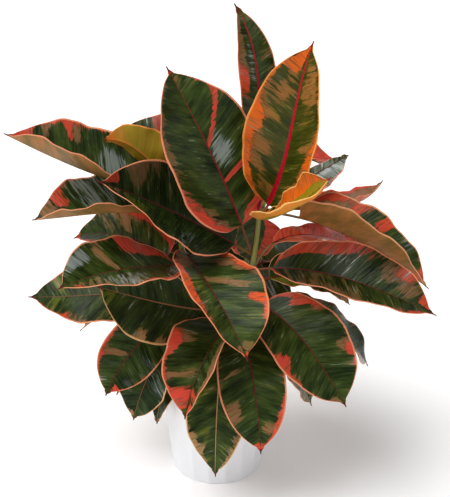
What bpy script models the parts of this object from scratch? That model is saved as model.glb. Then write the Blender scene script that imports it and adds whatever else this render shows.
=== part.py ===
"""A potted rubber plant: three stems with broad red-edged leaves, standing in a fluted pot of soil.

Metres, +Z up. The origin is the centre of the pot's flat base. The plant's front looks along -Y.
"""

import math
from collections import namedtuple

import bmesh
import bpy
from mathutils import Vector

# Clearance between pieces that touch
GAP = 0.0003

# Pot
POT_HEIGHT = 0.140
POT_BASE_RADIUS = 0.060
POT_RIM_RADIUS = 0.075
POT_WALL = 0.0035
POT_FLOOR = 0.005
POT_FOOT_ROUND = 0.003
POT_LIP_ROUND = 0.0015
FOOT_CHAMFER = 0.3
FLUTES = 18
STEPS_PER_FLUTE = 4
FLUTE_DEPTH = 0.0016

# Soil
SOIL_HEIGHT = 0.122
SOIL_CROWN = 0.004
SOIL_STEPS = 48
HOLE_DEPTH = 0.030
HOLE_SIDES = 16

# Stems
STEM_FOOT_RADIUS = 0.0048
STEM_TOP_RADIUS = 0.0026
STEM_POINTS = 12
BUD_LENGTH = 0.030
BUD_RADIUS = 0.0024
BUD_SHARES = (0.0, 0.2, 0.5, 0.8, 1.0)
BUD_SIZES = (0.8, 1.0, 0.8, 0.4, 0.1)

# Leaves
PETIOLE_RADIUS = 0.0016
BLADE_THICKNESS = 0.0009
RIB_DEPTH = 0.0012
WIDEST_AT = 0.47
DRIP_TIP = 0.045
DRIP_RADIUS = 0.0010
HANDLE = 0.36
LINE_SAMPLES = 64
BASE_FULLNESS = (2.3, 0.72)
TIP_FULLNESS = (2.4, 0.80)
WAVES = 3.0
WAVE_HEIGHT = 0.0025
WAVED_WIDTH = 0.02
ACROSS = (-1.0, -0.5, 0.0, 0.5, 1.0)
STALK_SHARES = (0.0, 0.5)
BLADE_SHARES = (0.0, 0.035, 0.11, 0.22, 0.36, 0.50, 0.64, 0.77, 0.88, 0.955, 1.0)

# foot: where the stem stands in the soil; head: its top (x, y, z)
# lean: how far its bud leans (x, y) per unit up
Stem = namedtuple("Stem", "foot head lean")
STEMS = {
    "right": Stem((0.020, -0.010), (0.0515, 0.000, 0.358), (0.20, -0.95)),
    "left": Stem((-0.026, 0.000), (-0.050, 0.012, 0.392), (-0.15, 0.10)),
    "back": Stem((0.006, 0.034), (0.066, 0.070, 0.398), (0.50, 0.20)),
}

# stem, height: the stem that carries the leaf and where the stalk leaves it; tip: the leaf's point (x, y, z)
# width: across the blade; stalk: length of the stalk; lift, end: slope in degrees where the stalk starts
# and at the tip; turn: degrees that the start heads anticlockwise of the tip, seen from above
# face: the way the upper side looks; fold: degrees that each half rises from the midrib
# cup: degrees more that it has turned at the margin; twist: degrees the tip is rolled, right side up
# left, right: how wide each half is beside the usual; widest: share of the blade where it is widest
UP = (0.0, 0.0, 1.0)
Leaf = namedtuple("Leaf", "stem height tip width stalk lift end turn face fold cup twist left right widest",
                  defaults=(1.0, 1.0, WIDEST_AT))
LEAVES = {
    "leaf_01": Leaf("back", 0.385, (0.021, 0.060, 0.600), 0.052, 0.020, 80, 58, 0, (0.15, -1.0, 0.2),
                    22, 20, 0, left=1.15),
    "leaf_02": Leaf("right", 0.352, (0.113, 0.000, 0.568), 0.110, 0.0145, 61, 69, -22,
                    (-0.6, -1.0, 0.1), 18, 26, 0, 1.00, 1.00, 0.42),
    "leaf_03": Leaf("right", 0.354, (0.131, -0.076, 0.427), 0.090, 0.010, 0, 50, -45, (0.0, -0.3, 1.0),
                    8, 56, 0, 0.60, 1.00, 0.78),
    "leaf_04": Leaf("right", 0.304, (-0.060, 0.025, 0.532), 0.116, 0.034, 72, 57, 16,
                    (0.75, -1.0, 0.35), 18, 12, 0, 1.54, 1.08, 0.40),
    "leaf_05": Leaf("back", 0.360, (-0.122, 0.100, 0.438), 0.090, 0.030, 35, 20, 0, (-0.1, -0.6, 1.0),
                    10, 4, 0),
    "leaf_06": Leaf("left", 0.382, (-0.137, 0.012, 0.445), 0.084, 0.014, 50, -5, -4, (0.0, 1.0, 0.2),
                    10, 6, 0, 0.86, 0.26, 0.28),
    "leaf_07": Leaf("left", 0.374, (-0.258, 0.015, 0.452), 0.100, 0.024, 10, 28, 0, (0.0, -0.5, 1.0),
                    46, 4, -32, right=1.12),
    "leaf_08": Leaf("right", 0.300, (-0.138, -0.055, 0.415), 0.114, 0.022, 30, 28, -25,
                    (0.15, -0.80, 1.0), 30, 4, 0, left=1.30, widest=0.40),
    "leaf_09": Leaf("left", 0.345, (-0.223, -0.030, 0.357), 0.096, 0.024, 20, 0, 0, UP, 30, 4, 0,
                    right=1.25),
    "leaf_10": Leaf("left", 0.276, (-0.185, 0.050, 0.301), 0.092, 0.022, 30, -22, -15,
                    (-0.1, -0.2, 1.0), 8, 4, 0, left=0.95, right=1.30),
    "leaf_11": Leaf("left", 0.283, (-0.181, -0.130, 0.311), 0.096, 0.012, 15, -5, 0, (0.0, -0.4, 1.0),
                    14, 14, 0, left=1.25),
    "leaf_12": Leaf("left", 0.232, (-0.249, 0.050, 0.218), 0.098, 0.030, 0, 8, -25, (0.0, -0.6, 1.0), 6,
                    4, 0),
    "leaf_13": Leaf("left", 0.212, (-0.189, 0.090, 0.148), 0.064, 0.030, 5, -45, -20, (0.0, 0.1, 1.0),
                    8, 4, 0),
    "leaf_14": Leaf("right", 0.224, (-0.146, -0.048, 0.277), 0.104, 0.050, 5, 22, 0, (0.0, -1.25, 0.85),
                    8, 4, 0, 1.04, 0.76, 0.44),
    "leaf_15": Leaf("left", 0.202, (-0.140, -0.060, 0.132), 0.074, 0.026, 25, -58, -12,
                    (0.0, -1.0, 0.5), 8, 4, 0),
    "leaf_16": Leaf("left", 0.198, (-0.134, 0.014, 0.091), 0.070, 0.030, 40, -65, -30, UP, 8, 4, 0),
    "leaf_17": Leaf("left", 0.184, (-0.107, -0.050, 0.091), 0.074, 0.030, 45, -75, 0, (0.0, -0.3, 1.0),
                    8, 4, 0),
    "leaf_18": Leaf("left", 0.180, (-0.077, -0.051, 0.086), 0.042, 0.020, 85, -88, 10, UP, 8, 4, 0),
    "leaf_19": Leaf("right", 0.213, (-0.038, -0.135, 0.143), 0.098, 0.026, 20, -70, 0,
                    (-0.7, -1.0, 0.3), 34, 4, 0, 1.00, 1.04, 0.36),
    "leaf_20": Leaf("right", 0.188, (-0.002, -0.115, 0.049), 0.074, 0.026, 65, -88, -28,
                    (-0.2, -0.3, 1.0), 8, 4, 0, left=1.08, right=1.08),
    "leaf_21": Leaf("right", 0.204, (0.053, -0.145, 0.101), 0.088, 0.030, 40, -80, -5, (0.0, -0.5, 1.0),
                    8, 4, 0, left=0.88),
    "leaf_22": Leaf("left", 0.304, (0.036, -0.160, 0.234), 0.104, 0.014, 0, -50, -8, (0.6, -0.8, 1.0),
                    20, 4, 0, left=1.18, right=0.88),
    "leaf_23": Leaf("right", 0.240, (0.157, -0.110, 0.145), 0.104, 0.020, 5, -50, 0, (0.1, -0.7, 1.0),
                    12, 4, 0),
    "leaf_24": Leaf("right", 0.210, (0.121, -0.040, 0.106), 0.080, 0.030, 40, -65, 0, UP, 8, 4, 0,
                    left=1.75, right=1.00),
    "leaf_25": Leaf("right", 0.225, (0.196, 0.000, 0.142), 0.096, 0.050, 40, -60, 12, UP, 8, 4, 0,
                    left=0.90, widest=0.66),
    "leaf_26": Leaf("right", 0.262, (0.172, 0.030, 0.216), 0.076, 0.024, 5, -55, 15, (0.0, -0.4, 1.0),
                    10, 4, 0, right=0.55, widest=0.30),
    "leaf_27": Leaf("right", 0.280, (0.265, -0.075, 0.251), 0.098, 0.020, 15, -20, 0, (0.0, -0.47, 1.0),
                    18, 4, 0, right=0.82),
    "leaf_28": Leaf("back", 0.332, (0.262, -0.030, 0.266), 0.080, 0.046, 5, -32, 0, UP, 48, 4, 0,
                    1.20, 1.70, 0.28),
    "leaf_29": Leaf("right", 0.284, (0.217, 0.090, 0.250), 0.090, 0.036, 50, -38, 20, (0.0, -0.1, 1.0),
                    10, 4, 0, 0.66, 1.00, 0.74),
    "leaf_30": Leaf("back", 0.334, (0.217, 0.105, 0.361), 0.052, 0.024, 0, 62, 0, UP, 34, 4, 0, right=1.10),
    "leaf_31": Leaf("back", 0.358, (0.167, 0.070, 0.407), 0.056, 0.020, 12, 32, 0, (0.0, -0.8, 1.0), 12,
                    4, 0, left=0.35),
    "leaf_32": Leaf("back", 0.380, (0.158, 0.155, 0.374), 0.072, 0.020, 40, -5, 25, (0.0, -0.3, 1.0),
                    14, 4, 0),
    "leaf_33": Leaf("back", 0.340, (0.042, 0.047, 0.270), 0.080, 0.020, 30, -80, 25, (0.35, -1.0, 0.2),
                    14, 8, 0, 0.83, 1.00, 0.30),
    "leaf_34": Leaf("back", 0.340, (0.120, 0.220, 0.330), 0.088, 0.026, 40, -10, 0, UP, 10, 4, 0),
    "leaf_35": Leaf("back", 0.254, (0.205, 0.190, 0.215), 0.088, 0.028, 10, -25, 0, UP, 10, 4, 0),
    "leaf_36": Leaf("back", 0.240, (0.180, 0.140, 0.170), 0.090, 0.030, 35, -45, 0, UP, 10, 4, 0),
    "leaf_37": Leaf("back", 0.225, (0.100, 0.150, 0.212), 0.080, 0.030, 45, 10, 0, (0.3, -1.0, 0.6), 10,
                    4, 0),
    "leaf_38": Leaf("back", 0.190, (0.110, 0.140, 0.095), 0.086, 0.030, 40, -65, 0, UP, 10, 4, 0),
    "leaf_39": Leaf("left", 0.345, (-0.130, 0.190, 0.330), 0.088, 0.028, 40, -10, 0, UP, 12, 4, 0),
    "leaf_40": Leaf("left", 0.320, (-0.030, 0.200, 0.290), 0.090, 0.028, 30, -20, 0, UP, 10, 4, 0),
    "leaf_41": Leaf("left", 0.272, (-0.150, 0.165, 0.232), 0.090, 0.030, 35, -30, -15, UP, 10, 4, 0),
    "leaf_42": Leaf("left", 0.210, (-0.058, 0.104, 0.282), 0.086, 0.024, 25, 80, 0, (-0.2, -1.0, 0.3),
                    10, 4, 0),
    "leaf_43": Leaf("left", 0.146, (-0.016, 0.038, 0.232), 0.054, 0.014, 35, 80, 0, (0.0, -1.0, 0.3),
                    10, 4, 0),
    "leaf_44": Leaf("back", 0.196, (0.006, 0.135, 0.285), 0.080, 0.024, 30, 75, 0, (0.0, -1.0, 0.3), 10,
                    4, 0),
}


def clear_scene():
    """Start from an empty file."""
    for item in list(bpy.data.objects):
        bpy.data.objects.remove(item)


def new_collection(name):
    """A collection linked to the scene."""
    collection = bpy.data.collections.new(name)
    bpy.context.scene.collection.children.link(collection)
    return collection


def new_material(name, colour, roughness):
    """A Principled material with one colour."""
    material = bpy.data.materials.new(name)
    material.use_nodes = True
    shader = material.node_tree.nodes["Principled BSDF"]
    shader.inputs["Base Color"].default_value = (*colour, 1.0)
    shader.inputs["Roughness"].default_value = roughness
    shader.inputs["Metallic"].default_value = 0.0
    return material


def new_object(name, data, material, collection):
    """An object in a collection, with its own material."""
    data.materials.append(material)
    item = bpy.data.objects.new(name, data)
    collection.objects.link(item)
    return item


def evaluated_mesh(item):
    """The mesh that an object's modifiers give."""
    bpy.context.view_layer.update()
    graph = bpy.context.evaluated_depsgraph_get()
    return bpy.data.meshes.new_from_object(item.evaluated_get(graph), depsgraph=graph)


def turned_mesh(name, profile, steps):
    """A closed profile in X and Z, turned about +Z with a Screw modifier."""
    outline = bmesh.new()
    points = [outline.verts.new((radius, 0.0, height)) for radius, height in profile]
    for start, end in zip(points, points[1:]):
        outline.edges.new((start, end))
    mesh = bpy.data.meshes.new(name)
    outline.to_mesh(mesh)
    outline.free()
    item = bpy.data.objects.new(name, mesh)
    bpy.context.scene.collection.objects.link(item)
    screw = item.modifiers.new("turn", "SCREW")
    screw.axis = "Z"
    screw.steps = steps
    screw.render_steps = steps
    screw.use_merge_vertices = True
    screw.merge_threshold = 0.00005
    turned = evaluated_mesh(item)
    bpy.data.objects.remove(item)
    return turned


def pot_radius(height):
    """The pot's outer radius at a height."""
    return POT_BASE_RADIUS + (POT_RIM_RADIUS - POT_BASE_RADIUS) * height / POT_HEIGHT


def flute_depth(angle):
    """How far a shallow flute lies inside the ridges at an angle round the pot."""
    across = (angle * FLUTES / math.tau) % 1.0
    return FLUTE_DEPTH * math.sin(math.pi * across)


def build_pot(collection):
    """The fluted pot: a turned cup whose outer wall is pressed in between its ridges."""
    lip = POT_HEIGHT - POT_LIP_ROUND
    foot = POT_FOOT_ROUND
    inner_foot = pot_radius(POT_FLOOR) - POT_WALL
    inner_rim = POT_RIM_RADIUS - POT_WALL
    profile = (
        (0.0, POT_FLOOR), (inner_foot, POT_FLOOR), (inner_rim, lip), (inner_rim + POT_LIP_ROUND, POT_HEIGHT),
        (POT_RIM_RADIUS - POT_LIP_ROUND, POT_HEIGHT), (POT_RIM_RADIUS, lip), (pot_radius(foot), foot),
        (pot_radius(0.0) - FOOT_CHAMFER * foot, FOOT_CHAMFER * foot), (POT_BASE_RADIUS - foot, 0.0),
        (0.0, 0.0),
    )
    mesh = turned_mesh("pot", profile, FLUTES * STEPS_PER_FLUTE)
    for vertex in mesh.vertices:
        x, y, z = vertex.co
        radius = math.hypot(x, y)
        if radius > pot_radius(z) - 0.5 * POT_WALL and 0.0 < z < POT_HEIGHT:
            scale = 1.0 - flute_depth(math.atan2(y, x)) / radius
            vertex.co.x = x * scale
            vertex.co.y = y * scale
    new_object("pot", mesh, new_material("pot", (0.86, 0.86, 0.85), 0.35), collection)


def stem_axis(stem, height):
    """The middle of a stem at a height, as an easy curve from foot to head."""
    head_height = stem.head[2]
    along = min(max((height - SOIL_HEIGHT) / (head_height - SOIL_HEIGHT), 0.0), 1.0)
    ease = along * along * (3.0 - 2.0 * along)
    x = stem.foot[0] + (stem.head[0] - stem.foot[0]) * ease
    y = stem.foot[1] + (stem.head[1] - stem.foot[1]) * ease
    return Vector((x, y, height))


def stem_radius(stem, height):
    """A stem's radius at a height."""
    along = min(max((height - SOIL_HEIGHT) / (stem.head[2] - SOIL_HEIGHT), 0.0), 1.0)
    return STEM_FOOT_RADIUS + (STEM_TOP_RADIUS - STEM_FOOT_RADIUS) * along


def tube(name, points, radii, material, collection):
    """A round tube of changing radius through a list of points."""
    curve = bpy.data.curves.new(name, "CURVE")
    curve.dimensions = "3D"
    curve.bevel_depth = 1.0
    curve.bevel_resolution = 2
    curve.use_fill_caps = True
    spline = curve.splines.new("POLY")
    spline.points.add(len(points) - 1)
    for point, place, radius in zip(spline.points, points, radii):
        point.co = (*place, 1.0)
        point.radius = radius
    return new_object(name, curve, material, collection)


def build_stems(collection):
    """The stems, each standing in its hole in the soil, with the pointed bud on its head."""
    for name, stem in STEMS.items():
        low = SOIL_HEIGHT - HOLE_DEPTH + GAP
        high = stem.head[2]
        heights = [low] + [SOIL_HEIGHT + (high - SOIL_HEIGHT) * step / (STEM_POINTS - 2)
                           for step in range(STEM_POINTS - 1)]
        points = [stem_axis(stem, height) for height in heights]
        radii = [stem_radius(stem, height) for height in heights]
        green = new_material(f"stem_{name}", (0.20, 0.24, 0.06), 0.45)
        tube(f"stem_{name}", points, radii, green, collection)
        lean = Vector((*stem.lean, 1.0)).normalized()
        foot = Vector(stem.head) + Vector((0.0, 0.0, 2.5 * GAP))
        points = [
            foot + Vector((0.0, 0.0, 1.0)).lerp(lean, share) * BUD_LENGTH * share for share in BUD_SHARES
        ]
        red = new_material(f"bud_{name}", (0.45, 0.03, 0.04), 0.4)
        tube(f"bud_{name}", points, [BUD_RADIUS * size for size in BUD_SIZES], red, collection)


def build_soil(collection, cutters):
    """The soil that fills the pot, slightly crowned, with a plain hole for each stem."""
    low = POT_FLOOR + GAP
    foot_radius = pot_radius(low) - POT_WALL - 2.0 * GAP
    edge = SOIL_HEIGHT - SOIL_CROWN
    edge_radius = pot_radius(edge) - POT_WALL - 2.0 * GAP
    crown = [
        (edge_radius * share, edge + SOIL_CROWN * (1.0 - share * share)) for share in (0.0, 0.35, 0.7, 1.0)
    ]
    mesh = turned_mesh("soil", (*crown, (foot_radius, low), (0.0, low)), SOIL_STEPS)
    soil = new_object("soil", mesh, new_material("soil", (0.05, 0.03, 0.02), 0.95), collection)
    for name, stem in STEMS.items():
        bpy.ops.mesh.primitive_cylinder_add(
            vertices=HOLE_SIDES, radius=(STEM_FOOT_RADIUS + GAP) / math.cos(math.pi / HOLE_SIDES),
            depth=2.0 * HOLE_DEPTH, location=(*stem.foot, SOIL_HEIGHT))
        cutter = bpy.context.object
        cutter.name = f"hole_{name}"
        cutter.hide_render = True
        cutter.display_type = "WIRE"
        for home in list(cutter.users_collection):
            home.objects.unlink(cutter)
        cutters.objects.link(cutter)
        cut = soil.modifiers.new(f"hole_{name}", "BOOLEAN")
        cut.operation = "DIFFERENCE"
        cut.object = cutter


def slope_vector(heading, slope):
    """A direction with a compass heading and a slope, both in radians."""
    return Vector((math.cos(heading) * math.cos(slope), math.sin(heading) * math.cos(slope), math.sin(slope)))


def midrib(leaf, stem):
    """The leaf's middle line from the stem's surface to its point, evenly spaced by length."""
    axis = stem_axis(stem, leaf.height)
    tip = Vector(leaf.tip)
    heading = math.atan2(tip.y - axis.y, tip.x - axis.x)
    lift = math.radians(leaf.lift)
    turn = math.radians(leaf.turn)
    leave = slope_vector(heading + turn, lift)
    arrive = slope_vector(heading - turn, math.radians(leaf.end))
    outward = slope_vector(heading + turn, 0.0)
    climb = stem_axis(stem, leaf.height + 0.005) - stem_axis(stem, leaf.height - 0.005)
    tilt = math.atan2(climb.dot(outward), climb.z)
    reach = stem_radius(stem, leaf.height) + GAP + PETIOLE_RADIUS * abs(math.sin(lift + tilt))
    start = axis + outward * reach / math.cos(tilt)
    handle = HANDLE * (tip - start).length
    corners = (start, start + leave * handle, tip - arrive * handle, tip)
    line = []
    for sample in range(LINE_SAMPLES + 1):
        t = sample / LINE_SAMPLES
        weights = ((1 - t) ** 3, 3 * t * (1 - t) ** 2, 3 * t * t * (1 - t), t ** 3)
        line.append(sum((corner * weight for corner, weight in zip(corners, weights)), Vector()))
    return line


def along_line(line, share):
    """Place and direction at a share of a line's length."""
    lengths = [0.0]
    for start, end in zip(line, line[1:]):
        lengths.append(lengths[-1] + (end - start).length)
    target = share * lengths[-1]
    index = next((i for i in range(1, len(line)) if lengths[i] >= target - 1e-9), len(line) - 1)
    run = (target - lengths[index - 1]) / (lengths[index] - lengths[index - 1])
    place = line[index - 1].lerp(line[index], run)
    before = line[max(index - 2, 0)]
    after = line[min(index + 1, len(line) - 1)]
    return place, (after - before).normalized()


def half_width(share, widest):
    """The blade's outline: half its width at a share of its length, as a part of the widest."""
    apex = 1.0 - DRIP_TIP
    if share < widest:
        away = (widest - share) / widest
        return (1.0 - away ** BASE_FULLNESS[0]) ** BASE_FULLNESS[1]
    if share < apex:
        away = (share - widest) / (apex - widest)
        return (1.0 - away ** TIP_FULLNESS[0]) ** TIP_FULLNESS[1]
    return 0.0


def section(leaf, share, blade):
    """Ring of points across the leaf: over the upper side, then back along the lower.

    share is along the blade; blade is 0 on the round stalk and 1 on the flat blade.
    """
    usual = 0.5 * leaf.width * half_width(share, leaf.widest)
    fold = math.radians(leaf.fold)
    cup = math.radians(leaf.cup)
    rib = RIB_DEPTH * (1.0 - share)
    upper = []
    lower = []
    for step, part in enumerate(ACROSS):
        side = 1.0 if part > 0.0 else -1.0
        width = max(usual * (leaf.right if part > 0.0 else leaf.left), DRIP_RADIUS * (1.6 - share))
        angle = (fold + cup * abs(part)) if part else 0.0
        middle = fold + 0.5 * cup * abs(part)
        run = abs(part) * width
        wave = math.sin(math.tau * WAVES * share + side)
        swell = WAVE_HEIGHT * part * part * min(width / WAVED_WIDTH, 1.0) * wave
        x = side * run * math.cos(middle)
        z = run * math.sin(middle) + swell
        lean = Vector((-side * math.sin(angle), math.cos(angle)))
        under = 0.5 * BLADE_THICKNESS + (rib if part == 0.0 else 0.0)
        turn = math.pi * (1.0 - (2 * step + 1) / (2 * len(ACROSS)))
        round_x = PETIOLE_RADIUS * math.cos(turn)
        round_z = PETIOLE_RADIUS * math.sin(turn)
        top = Vector((x, z)) + lean * 0.5 * BLADE_THICKNESS
        bottom = Vector((x, z)) - lean * under
        upper.append(Vector((round_x, round_z)).lerp(top, blade))
        lower.append(Vector((round_x, -round_z)).lerp(bottom, blade))
    return upper + lower[::-1]


def build_leaf(name, leaf, stem, material, collection):
    """One leaf, lofted from its round stalk through the thin folded blade to its drip tip."""
    line = midrib(leaf, stem)
    length = sum((end - start).length for start, end in zip(line, line[1:]))
    stalk = leaf.stalk / length
    stations = [(stalk * share, 0.0, 0.0) for share in STALK_SHARES]
    stations += [
        (stalk + (1.0 - stalk) * share, share, min(share / BLADE_SHARES[1], 1.0)) for share in BLADE_SHARES
    ]
    mesh = bmesh.new()
    rings = []
    for total, share, blade in stations:
        place, forward = along_line(line, total)
        face = Vector(leaf.face).normalized()
        level = (face - forward * face.dot(forward)).normalized()
        twist = math.radians(leaf.twist * share)
        up = level * math.cos(twist) - forward.cross(level) * math.sin(twist)
        side = forward.cross(up)
        outline = section(leaf, share, blade)
        rings.append([mesh.verts.new(place + side * point.x + up * point.y) for point in outline])
    count = len(rings[0])
    half = count // 2
    for near, far in zip(rings, rings[1:]):
        for step in range(count):
            after = (step + 1) % count
            if step < half:
                mesh.faces.new((near[step], near[after], far[after]))
                mesh.faces.new((near[step], far[after], far[step]))
            else:
                mesh.faces.new((near[step], near[after], far[step]))
                mesh.faces.new((far[step], near[after], far[after]))
    for ring, flip in ((rings[0], True), (rings[-1], False)):
        for step in range(half - 1):
            corners = [ring[step], ring[step + 1], ring[count - 2 - step], ring[count - 1 - step]]
            mesh.faces.new(corners[::-1] if flip else corners)
    bmesh.ops.triangulate(mesh, faces=[face for face in mesh.faces if len(face.verts) > 3])
    data = bpy.data.meshes.new(name)
    mesh.to_mesh(data)
    mesh.free()
    data.shade_smooth()
    return new_object(name, data, material, collection)


def build_leaves(collection):
    """Every leaf, on the stem that carries it."""
    for name, leaf in LEAVES.items():
        green = new_material(name, (0.05, 0.09, 0.03), 0.35)
        build_leaf(name, leaf, STEMS[leaf.stem], green, collection)


def main():
    """Build the whole plant."""
    clear_scene()
    plant = new_collection("potted_rubber_plant")
    cutters = new_collection("cutters")
    build_pot(plant)
    build_soil(plant, cutters)
    build_stems(plant)
    build_leaves(plant)


main()
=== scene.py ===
"""The looks of a potted rubber plant: marked leaves, stems, bud sheaths, soil and a fluted pot.

Metres, +Z up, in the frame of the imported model. The plant's front looks along -Y.
"""

import logging
import math
import random
from collections.abc import Callable, Iterable, Sequence
from dataclasses import dataclass, field
from enum import Enum

import bpy
import numpy as np
from mathutils import Euler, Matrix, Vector, noise

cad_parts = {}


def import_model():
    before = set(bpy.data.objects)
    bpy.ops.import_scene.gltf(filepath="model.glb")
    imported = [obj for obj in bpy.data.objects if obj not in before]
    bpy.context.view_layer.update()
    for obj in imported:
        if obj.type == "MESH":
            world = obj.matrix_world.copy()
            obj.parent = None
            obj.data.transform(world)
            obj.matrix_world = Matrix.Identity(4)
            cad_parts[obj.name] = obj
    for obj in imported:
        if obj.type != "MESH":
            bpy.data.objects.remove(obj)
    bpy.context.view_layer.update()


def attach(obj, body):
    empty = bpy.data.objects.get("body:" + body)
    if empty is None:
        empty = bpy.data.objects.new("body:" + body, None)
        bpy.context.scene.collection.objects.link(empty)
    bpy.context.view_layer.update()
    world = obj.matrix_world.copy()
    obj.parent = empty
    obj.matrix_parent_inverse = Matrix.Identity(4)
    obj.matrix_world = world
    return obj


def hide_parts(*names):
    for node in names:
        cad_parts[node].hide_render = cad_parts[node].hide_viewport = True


LOG = logging.getLogger("rubber_plant")
SCREEN_FULL = 255.0
SCREEN_GAMMA = 2.2
PERCENT = 100.0
Colour = tuple[float, float, float]
Point = tuple[float, float, float]
Pair = tuple[float, float]
Rows = tuple[tuple[float, ...], ...]
UP: Point = (0.0, 0.0, 1.0)
# How softly a mark starts and ends across the blade, inside and outside its edge
NEAR_BLUR: Pair = (0.18, 0.16)
FAR_BLUR: Pair = (0.08, 0.20)


def screen(red: int, green: int, blue: int) -> Colour:
    """Turn a colour as a screen shows it, each part up to 255, into light amounts."""
    return tuple((part / SCREEN_FULL) ** SCREEN_GAMMA for part in (red, green, blue))


def smooth(low: float, high: float, value: np.ndarray | float) -> np.ndarray | float:
    """Rise softly from 0 at low to 1 at high, for one value or many."""
    share = np.clip((value - low) / (high - low), 0.0, 1.0)
    return share * share * (3.0 - 2.0 * share)


def operator(operation: str, swapped: bool = False) -> Callable[..., "Wire"]:
    """Make a method that adds one Math node.

    Args:
        operation: The node's operation.
        swapped: True where the wire comes last, as in a reflected operator.

    Returns:
        The method.
    """
    def method(wire: "Wire", *others: "Wire | float") -> "Wire":
        """Work out the operation on the wire and the other values."""
        values = (*others, wire) if swapped else (wire, *others)
        return wire.graph.node("ShaderNodeMath", {"operation": operation}, dict(enumerate(values)))
    return method


class Wire:
    """A shader socket that takes part in Python expressions."""

    def __init__(self, graph: "Graph", socket: bpy.types.NodeSocket) -> None:
        """Hold an output socket and the graph that it belongs to."""
        self.graph = graph
        self.socket = socket

    __add__ = __radd__ = operator("ADD")
    __sub__ = operator("SUBTRACT")
    __rsub__ = operator("SUBTRACT", swapped=True)
    __mul__ = __rmul__ = operator("MULTIPLY")
    __truediv__ = operator("DIVIDE")
    __pow__ = operator("POWER")
    __abs__ = operator("ABSOLUTE")
    sine = operator("SINE")

    def rise(self, low: float, high: float, start: float = 0.0, stop: float = 1.0) -> "Wire":
        """Go softly from start, up to where the value is low, to stop, from where it is high."""
        return self.graph.node("ShaderNodeMapRange", {"interpolation_type": "SMOOTHSTEP"}, {
            "Value": self, "From Min": low, "From Max": high, "To Min": start, "To Max": stop})


class Graph:
    """The nodes of one material or of the sky."""

    def __init__(self, owner: bpy.types.Material | bpy.types.World, shader: str = "Principled BSDF") -> None:
        """Take up the nodes that the owner starts with.

        Args:
            owner: The material or world.
            shader: The name of its shader node.
        """
        owner.use_nodes = True
        self.owner = owner
        self.tree = owner.node_tree
        self.shader = self.tree.nodes[shader]

    def feed(self, socket: bpy.types.NodeSocket, value: "Wire | float | Sequence[float]") -> None:
        """Give a socket its value or its link.

        Args:
            socket: The input socket.
            value: A wire, a number, a colour or a vector.
        """
        if isinstance(value, Wire):
            self.tree.links.new(value.socket, socket)
        elif isinstance(value, tuple) and socket.type == "RGBA":
            socket.default_value = (*value, 1.0)
        else:
            socket.default_value = value

    def node(self, kind: str, settings: dict, inputs: dict, output: int | str = 0) -> Wire:
        """Add any node.

        Args:
            kind: The node's type.
            settings: Its properties, which are set first.
            inputs: Values or wires by socket name or number.
            output: The socket that is wanted.

        Returns:
            That output.
        """
        node = self.tree.nodes.new(kind)
        for key, value in settings.items():
            setattr(node, key, value)
        for key, value in inputs.items():
            self.feed(node.inputs[key], value)
        return Wire(self, node.outputs[output])

    def blend(self, share: Wire | float, below: Wire | Colour, above: Wire | Colour) -> Wire:
        """Mix two colours, with a share of the one above."""
        return self.node("ShaderNodeMix", {"data_type": "RGBA"}, {0: share, 6: below, 7: above}, 2)

    def vector(self, x: Wire | float, y: Wire | float, z: Wire | float) -> Wire:
        """Join three values into a vector."""
        return self.node("ShaderNodeCombineXYZ", {}, {0: x, 1: y, 2: z})

    def parts(self, vector: Wire) -> tuple[Wire, Wire, Wire]:
        """Split a vector into its three values."""
        split = self.node("ShaderNodeSeparateXYZ", {}, {0: vector}).socket.node
        return tuple(Wire(self, socket) for socket in split.outputs)

    def attribute(self, name: str) -> tuple[Wire, Wire, Wire]:
        """Read the three values of a vector that the mesh holds."""
        return self.parts(self.node("ShaderNodeAttribute", {"attribute_name": name}, {}, "Vector"))

    def cloud(self, place: Wire, scale: float, detail: float, rough: float) -> Wire:
        """Smooth noise about 0.5, with layers of finer noise of a given strength."""
        return self.node("ShaderNodeTexNoise", {}, {
            "Vector": place, "Scale": scale, "Detail": detail, "Roughness": rough})

    def relief(self, height: Wire, depth: float) -> Wire:
        """The normal over a relief whose height of 1 stands for a depth in metres."""
        return self.node("ShaderNodeBump", {}, {"Height": height, "Distance": depth, "Strength": 1.0})

    def dress(self, **inputs: "Wire | float | Sequence[float]") -> None:
        """Feed the shader's sockets, named with _ for each space."""
        for name, value in inputs.items():
            self.feed(self.shader.inputs[name.replace("_", " ")], value)


@dataclass(frozen=True)
class Grain:
    """Noise drawn out along the side veins: how fine it is, where it is read and its finer layers."""

    along: float
    across: float
    shift: float
    layers: float
    rough: float


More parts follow.
